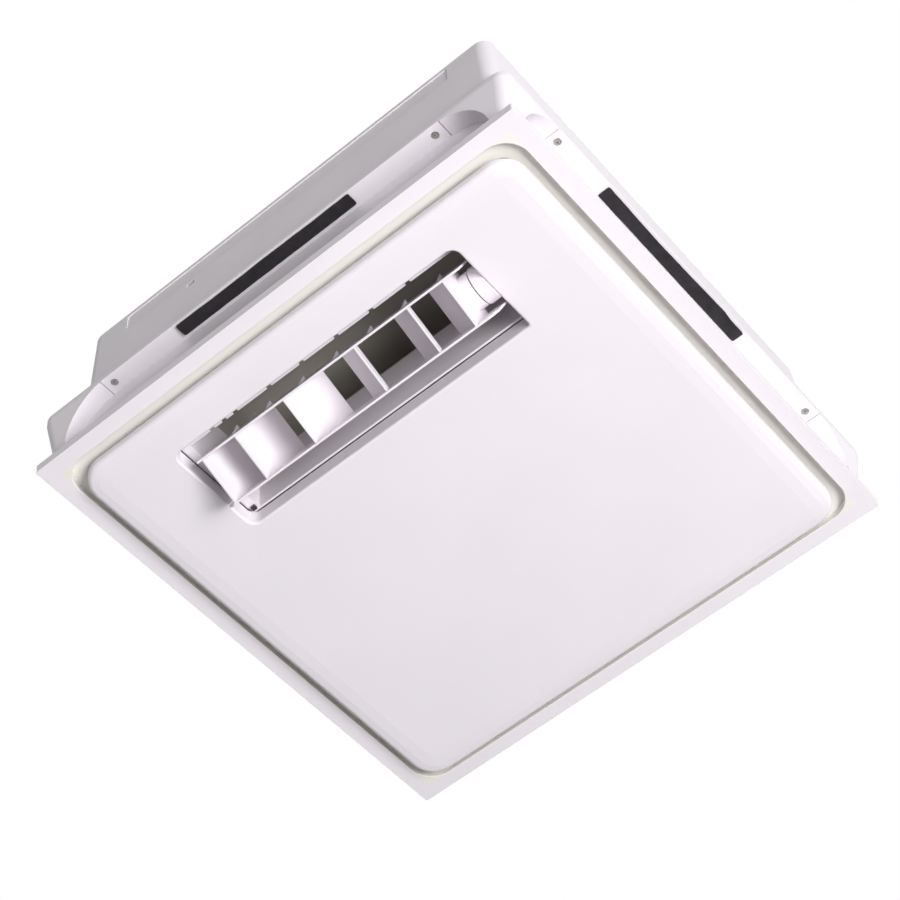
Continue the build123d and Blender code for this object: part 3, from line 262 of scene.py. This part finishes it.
def cell_foam():
    """Cut closed-cell foam: open cells on the skin, dust in them, matt."""
    s = Shader("cell_foam", (0.0155, 0.0135, 0.0165), 0.88)
    cells = s.cells(1150.0)
    s.tint(s.noise(75.0, 5.0, 0.65), 0.65, 1.9, 0.3, 0.75)
    s.shine(s.noise(200.0, 3.0), 0.80, 0.95)
    s.relief(s.noise(170.0, 4.0, 0.6), 0.5 * MM, 0.5)
    s.relief(cells.outputs["Distance"], 0.35 * MM, 0.8)
    s.main.inputs["Specular IOR Level"].default_value = 0.25
    s.main.inputs["Sheen Weight"].default_value = 0.15
    s.main.inputs["Sheen Roughness"].default_value = 0.6
    return s.material


# Height over the board's underside where its parts begin
BOARD_FACE = 1.7 * MM


def circuit_board():
    """Green lacquer over copper tracks below, dark parts above the board's face."""
    s = Shader("lacquered_board", (0.020, 0.130, 0.045), 0.30)
    low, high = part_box("circuit_board")
    tracks = s.bands(160.0, "DIAGONAL", 7.0)
    lacquer = s.add("ShaderNodeValToRGB")
    lacquer.color_ramp.elements[0].position = 0.46
    lacquer.color_ramp.elements[0].color = (0.016, 0.105, 0.036, 1.0)
    lacquer.color_ramp.elements[1].position = 0.54
    lacquer.color_ramp.elements[1].color = (0.045, 0.210, 0.075, 1.0)
    s.link(tracks, lacquer.inputs["Fac"])
    height = s.add("ShaderNodeSeparateXYZ")
    s.link(s.place, height.inputs["Vector"])
    above = s.add("ShaderNodeMath", operation="GREATER_THAN")
    above.inputs[1].default_value = low.z + BOARD_FACE
    s.link(height.outputs["Z"], above.inputs[0])
    parts = s.add("ShaderNodeValToRGB")
    parts.color_ramp.interpolation = "CONSTANT"
    ends = parts.color_ramp.elements
    for end, place, colour in ((ends[0], 0.0, (0.020, 0.022, 0.030)), (ends[1], 0.42, (0.62, 0.36, 0.06)),
                               (ends.new(0.68), 0.68, (0.030, 0.030, 0.032))):
        end.position = place
        end.color = (*colour, 1.0)
    span = s.spread(height.outputs["X"], 0.0, 1.0, low.x, high.x)
    s.link(span, parts.inputs["Fac"])
    mix = s.add("ShaderNodeMix", data_type="RGBA")
    s.link(above.outputs["Value"], mix.inputs["Factor"])
    s.link(lacquer.outputs["Color"], mix.inputs[MIX_A])
    s.link(parts.outputs["Color"], mix.inputs[MIX_B])
    s.link(mix.outputs[MIX_RESULT], s.main.inputs["Base Color"])
    s.soften(0.3 * MM)
    s.relief(tracks, 0.03 * MM, 0.6)
    return s.material


def smoked_plastic():
    s = Shader("smoked_window", (0.012, 0.008, 0.010), 0.12)
    s.tint(s.noise(320.0, 3.0), 0.8, 1.3)
    s.shine(s.noise(420.0, 3.0), 0.09, 0.18)
    s.soften(0.3 * MM)
    s.relief(s.noise(90.0, 2.0), 0.02 * MM, 0.5)
    s.main.inputs["Coat Weight"].default_value = 0.4
    return s.material


SHELL = (0.870, 0.822, 0.868)
materials = {
    "white_plastic": moulded("satin_shell", SHELL, 0.42),
    "housing_plastic": moulded("satin_housing", (0.862, 0.818, 0.862), 0.48, grain=0.05 * MM),
    # The inner mouldings are the shell's white plastic; their darker grey-beige colour is painted shade
    # deep in the outlet
    "inner_plastic": moulded("inner_moulding_painted_shade", (0.440, 0.414, 0.374), 0.42, edge=0.3 * MM),
    "galvanised_steel": galvanised(),
    "zinc_screws": zinc(),
    "steel_shaft": ground_steel(),
    "magnet": ferrite(),
    "core_steel": laminated_steel(),
    "copper_winding": enamelled_copper(),
    "rubber": rubber("black_rubber", (0.022, 0.022, 0.023)),
    "foam": cell_foam(),
    "box_plastic": moulded("box_moulding", (0.70, 0.69, 0.66), 0.50, grain=0.06 * MM),
    "board": circuit_board(),
    "terminal": moulded("terminal_moulding", (0.66, 0.66, 0.63), 0.30),
    "gland": rubber("black_nylon", (0.016, 0.016, 0.018)),
    "receiver_window": smoked_plastic(),
}
for part in frame["record"]["subparts"]:
    mesh = nodes[part["node"]].data
    mesh.materials.clear()
    mesh.materials.append(materials[part["material_slot"]])
# The channel round the panel is given a little creamier colour: painted warm bounce light in the channel
CHANNEL_PAINTED_BOUNCE = (281.0 * MM, (0.870, 0.842, 0.795))
nodes["trim_frame"].data.materials[0] = moulded("frame_shell_painted_bounce", SHELL, 0.42, inside=CHANNEL_PAINTED_BOUNCE)


def new_piece(name, mesh_form, material, body):
    """An object from a bmesh, with its material, slot and body."""
    mesh = bpy.data.meshes.new(name)
    mesh_form.normal_update()
    mesh_form.to_mesh(mesh)
    mesh_form.free()
    for face in mesh.polygons:
        face.use_smooth = True
    obj = bpy.data.objects.new(name, mesh)
    bpy.context.scene.collection.objects.link(obj)
    obj.data.materials.append(materials[material])
    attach(obj, body)
    return obj


# How far each strip's outer edge lies inside its pad, as (share of the length, millimetres)
FOAM_EDGES = {
    "front": ((0.0, 0.5), (0.3, 1.1), (0.55, 0.4), (0.8, 1.0), (1.0, 0.5)),
    "right": ((0.0, 0.8), (0.35, 2.0), (0.6, 1.2), (0.85, 0.0), (0.9, 1.2), (1.0, 1.0)),
    "rear": ((0.0, 0.9), (0.4, 0.3), (0.7, 1.3), (1.0, 0.6)),
    "left": ((0.0, 0.4), (0.25, 1.2), (0.6, 0.5), (1.0, 1.0)),
}
FOAM_RINGS, FOAM_SIDES = 120, 28
FOAM_END = 0.5 * MM  # over which the cut ends are pressed in
FOAM_GAP = 0.4 * MM  # between the strip and the edge of its pad


def edge_inset(edge, t):
    """The inset in metres at a share t of the length."""
    for (start, low), (stop, high) in zip(edge, edge[1:]):
        if t <= stop:
            return (low + (high - low) * (t - start) / (stop - start)) * MM
    return edge[-1][1] * MM


def foam_strip(node, edge, seed):
    """A cut foam strip in the space of its CAD pad: square ends, a straight inner and a wavy outer edge."""
    low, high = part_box(node)
    size = high - low
    along, across = (0, 1) if size.x > size.y else (1, 0)
    length, width, thick = size[along], size[across], size.z
    middle = (low + high) / 2
    outer = math.copysign(1.0, middle[across])
    form = bmesh.new()
    loops = []
    for i in range(FOAM_RINGS + 1):
        t = i / FOAM_RINGS
        end = min(t, 1 - t) * length / FOAM_END
        close = math.sqrt(max(0.0, 1 - (1 - min(1.0, end)) ** 2))
        s = (t - 0.5) * length
        inset = edge_inset(edge, t)
        loop = []
        for j in range(FOAM_SIDES):
            turn = 2 * math.pi * j / FOAM_SIDES
            u, v = math.cos(turn), math.sin(turn)
            # a squared-off oval section
            u = math.copysign(abs(u) ** 0.38, u)
            v = math.copysign(abs(v) ** 0.62, v)
            sample = Vector((s * 150.0, u * 2.0 + seed, v * 2.0))
            ragged = 1.0 - 0.045 * abs(noise.noise(sample)) - 0.02 * abs(noise.noise(sample * 3.1))
            ragged *= 1.0 - 0.05 * abs(noise.noise(Vector((s * 24.0, 3.0 * seed, u))))
            point = [0.0, 0.0, 0.0]
            point[along] = middle[along] + s
            point[across] = middle[across] + u * (width / 2 - FOAM_GAP) * ragged * max(close, 0.9)
            if u * outer > 0:
                point[across] -= u * inset
            swell = 0.86 + 0.10 * noise.noise(Vector((s * 30.0, u * 1.5, seed + 4.0)))
            depth = thick / 2 * (swell if v < 0 else 0.94)
            point[2] = middle.z + v * depth * max(close, 0.8)
            loop.append(form.verts.new(point))
        loops.append(loop)
    for a, b in zip(loops, loops[1:]):
        for j in range(FOAM_SIDES):
            k = (j + 1) % FOAM_SIDES
            form.faces.new((a[j], a[k], b[k], b[j]))
    form.faces.new(list(reversed(loops[0])))
    form.faces.new(loops[-1])
    bmesh.ops.recalc_face_normals(form, faces=form.faces)
    obj = new_piece(node.replace("foam_pad", "foam_strip"), form, "foam", "housing")
    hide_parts(node)


for number, side in enumerate(("front", "right", "rear", "left"), start=1):
    foam_strip(f"foam_pad_{side}", FOAM_EDGES[side], 7.0 * number)


FAN_MIDDLE = Vector((0.0, 0.0, 0.08))
# Name, place, side and watts of each lamp
LAMPS = (
    ("key", (3.0, -0.95, -2.3), 1.8, 172.0),
    ("front", (0.4, -3.4, -0.5), 2.0, 12.0),
    ("back", (-1.6, 2.4, 2.6), 2.2, 115.0),
)


def softbox(name, place, size, power):
    """A square lamp that looks at the fan and that no ray sees."""
    lamp = bpy.data.lights.new(name, "AREA")
    lamp.shape = "SQUARE"
    lamp.size = size
    lamp.energy = power
    obj = bpy.data.objects.new(name, lamp)
    obj.location = place
    obj.visible_camera = False
    obj.visible_glossy = False
    bpy.context.scene.collection.objects.link(obj)
    obj.rotation_mode = "QUATERNION"
    obj.rotation_quaternion = (FAN_MIDDLE - obj.location).to_track_quat("-Z", "Y")


def light_path_seen(tree):
    """1 for rays that see the background: camera, glossy and transmission rays."""
    path = tree.nodes.new("ShaderNodeLightPath")
    total = path.outputs["Is Camera Ray"]
    for kind in ("Is Glossy Ray", "Is Transmission Ray"):
        node = tree.nodes.new("ShaderNodeMath")
        node.operation = "MAXIMUM"
        tree.links.new(total, node.inputs[0])
        tree.links.new(path.outputs[kind], node.inputs[1])
        total = node.outputs["Value"]
    return total


def make_world(strength):
    """Weak even light on the fan, before a white background."""
    world = bpy.data.worlds.new("studio")
    bpy.context.scene.world = world
    world.use_nodes = True
    tree = world.node_tree
    light = tree.nodes["Background"]
    light.inputs["Color"].default_value = WHITE
    light.inputs["Strength"].default_value = strength
    seen = tree.nodes.new("ShaderNodeBackground")
    seen.inputs["Color"].default_value = WHITE
    seen.inputs["Strength"].default_value = 1.0
    mix = tree.nodes.new("ShaderNodeMixShader")
    tree.links.new(light_path_seen(tree), mix.inputs["Fac"])
    tree.links.new(light.outputs["Background"], mix.inputs[1])
    tree.links.new(seen.outputs["Background"], mix.inputs[2])
    tree.links.new(mix.outputs["Shader"], tree.nodes["World Output"].inputs["Surface"])


FLOOR_COLOUR = (0.86, 0.86, 0.86, 1.0)
FLOOR_ROUGHNESS = 0.9
FLOOR_GLOW = 0.6  # share of its own light in what the camera sees of the floor


def make_floor(height, half_size):
    """The room's plain pale floor, well under the fan."""
    form = bmesh.new()
    corners = [form.verts.new((x * half_size, y * half_size, height)) for x, y in
               ((-1, -1), (1, -1), (1, 1), (-1, 1))]
    form.faces.new(corners)
    mesh = bpy.data.meshes.new("floor")
    form.to_mesh(mesh)
    form.free()
    floor = bpy.data.objects.new("floor", mesh)
    bpy.context.scene.collection.objects.link(floor)
    material = bpy.data.materials.new("pale_floor")
    material.use_nodes = True
    tree = material.node_tree
    surface = tree.nodes["Principled BSDF"]
    surface.inputs["Base Color"].default_value = FLOOR_COLOUR
    surface.inputs["Roughness"].default_value = FLOOR_ROUGHNESS
    glow = tree.nodes.new("ShaderNodeEmission")
    glow.inputs["Strength"].default_value = 1.0
    share = tree.nodes.new("ShaderNodeMath")
    share.operation = "MULTIPLY"
    share.inputs[1].default_value = FLOOR_GLOW
    tree.links.new(light_path_seen(tree), share.inputs[0])
    mix = tree.nodes.new("ShaderNodeMixShader")
    tree.links.new(share.outputs["Value"], mix.inputs["Fac"])
    tree.links.new(surface.outputs["BSDF"], mix.inputs[1])
    tree.links.new(glow.outputs["Emission"], mix.inputs[2])
    tree.links.new(mix.outputs["Shader"], tree.nodes["Material Output"].inputs["Surface"])
    mesh.materials.append(material)


# The camera fitted to the photograph: its turn as axis times angle, its offset in its own axes in
# millimetres, and its focal length in pixels of a picture this wide
CAMERA_TURN = Vector((0.614168989, 0.148941275, -0.687279844))
CAMERA_OFFSET = Vector((15.1919064, 38.9678532, 2379.98710))
FOCAL_PIXELS, PHOTO_WIDTH = 2402.94914, 900
SENSOR_WIDTH = 36.0


def make_camera():
    """A long lens below the fan, turned as in the photograph."""
    to_camera = Matrix.Rotation(CAMERA_TURN.length, 3, CAMERA_TURN.normalized())
    right, down, ahead = to_camera
    place = -(to_camera.transposed() @ (CAMERA_OFFSET * MM))
    camera = bpy.data.objects.new("camera", bpy.data.cameras.new("camera"))
    camera.data.sensor_width = SENSOR_WIDTH
    camera.data.lens = FOCAL_PIXELS / PHOTO_WIDTH * SENSOR_WIDTH
    camera.data.clip_start = 0.05
    camera.data.clip_end = 200.0
    turned = Matrix((right, -down, -ahead)).transposed().to_4x4()
    camera.matrix_world = Matrix.Translation(place) @ turned
    bpy.context.scene.collection.objects.link(camera)
    bpy.context.scene.camera = camera


make_world(0.155)
make_floor(-3.6, 60.0)
for lamp in LAMPS:
    softbox(*lamp)
make_camera()
bpy.context.scene.view_settings.view_transform = "Standard"
